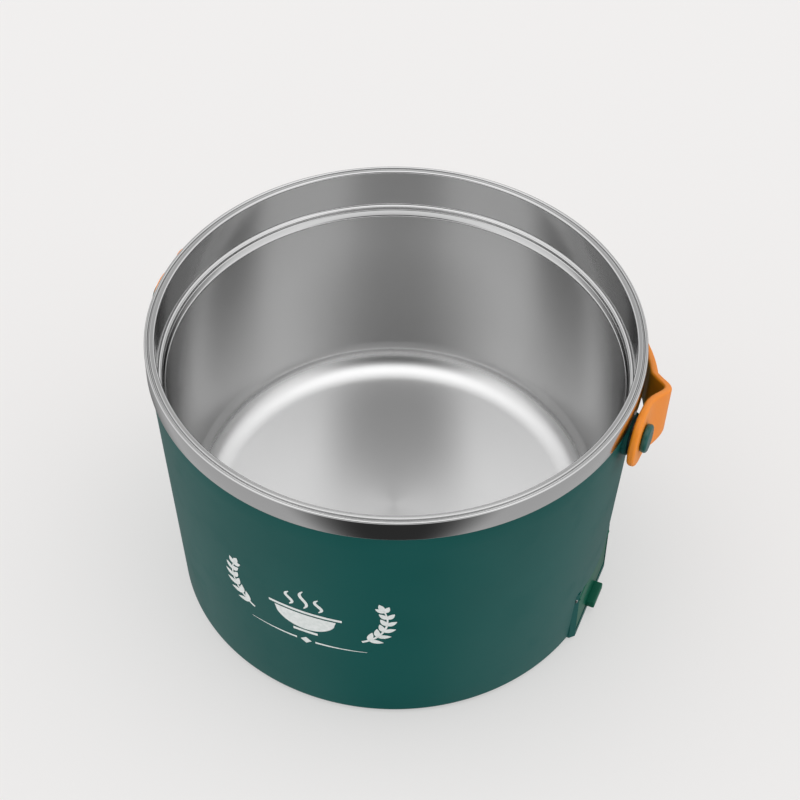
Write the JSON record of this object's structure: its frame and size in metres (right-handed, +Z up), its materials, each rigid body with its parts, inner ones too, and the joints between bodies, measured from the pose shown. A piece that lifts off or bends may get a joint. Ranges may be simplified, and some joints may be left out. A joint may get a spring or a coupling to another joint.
{
  "type": "electric lunch box",
  "caption": "Round heated lunch pot: stepped steel pot in a tapered plastic shell, folding carrying strap on side pins, flap over the power inlet.",
  "frame": {"origin": "centre of the base, on the surface that the feet stand on", "axes": "+Z up through the pot's mouth, front with the printed emblem towards -Y, strap pins along X, power inlet on +X"},
  "size_m": [0.173, 0.1639, 0.106],
  "materials": {
    "shell_plastic": "satin teal green",
    "flap_plastic": "satin green",
    "pin_plastic": "glossy teal green",
    "strap_plastic": "satin orange",
    "pot_steel": "satin spun steel",
    "small_steel": "plated",
    "heater_alloy": "cast",
    "brass": "plain",
    "ceramic": "glazed",
    "black_plastic": "matt",
    "seal_rubber": "matt",
    "foot_rubber": "matt",
    "felt": "felt",
    "wire_red": "satin",
    "wire_blue": "satin",
    "wire_yellow": "satin"
  },
  "bodies": {
    "root": {"outer_shell": "shell_plastic", "inner_pot": "pot_steel", "rim_seal": "seal_rubber", "pivot_pin_right": "pin_plastic", "pivot_pin_left": "pin_plastic", "pivot_washer_right": "black_plastic", "pivot_washer_left": "black_plastic", "insulation_sleeve": "felt", "heater_plate": "heater_alloy", "heating_ring": "small_steel", "thermostat": "ceramic", "thermostat_bracket": "small_steel", "plate_studs": "small_steel", "bracket_nuts": "small_steel", "shield_nuts": "small_steel", "thermal_fuse": "brass", "heat_shield": "heater_alloy", "power_inlet": "black_plastic", "socket_pins": "brass", "inlet_bezel": "shell_plastic", "flap_hinge_pin": "small_steel", "base_cover": "black_plastic", "base_screws": "small_steel", "foot_front": "foot_rubber", "foot_rear": "foot_rubber", "foot_right": "foot_rubber", "foot_left": "foot_rubber", "foot_middle": "foot_rubber", "wire_live": "wire_red", "wire_link": "wire_red", "wire_return": "wire_red", "wire_neutral": "wire_blue", "wire_earth": "wire_yellow"},
    "strap": {"strap_handle": "strap_plastic"},
    "flap": {"inlet_flap": "flap_plastic"}
  },
  "joints": [
    {"name": "strap_swing", "type": "hinge", "parent": "root", "child": "strap", "pos_m": [0, 0, 0.09], "axis": [1, 0, 0], "range_deg": [0, 208]},
    {"name": "flap_hinge", "type": "hinge", "parent": "root", "child": "flap", "pos_m": [0.0723, 0, 0.021], "axis": [0, -1, 0], "range_deg": [0, 95]}
  ]
}
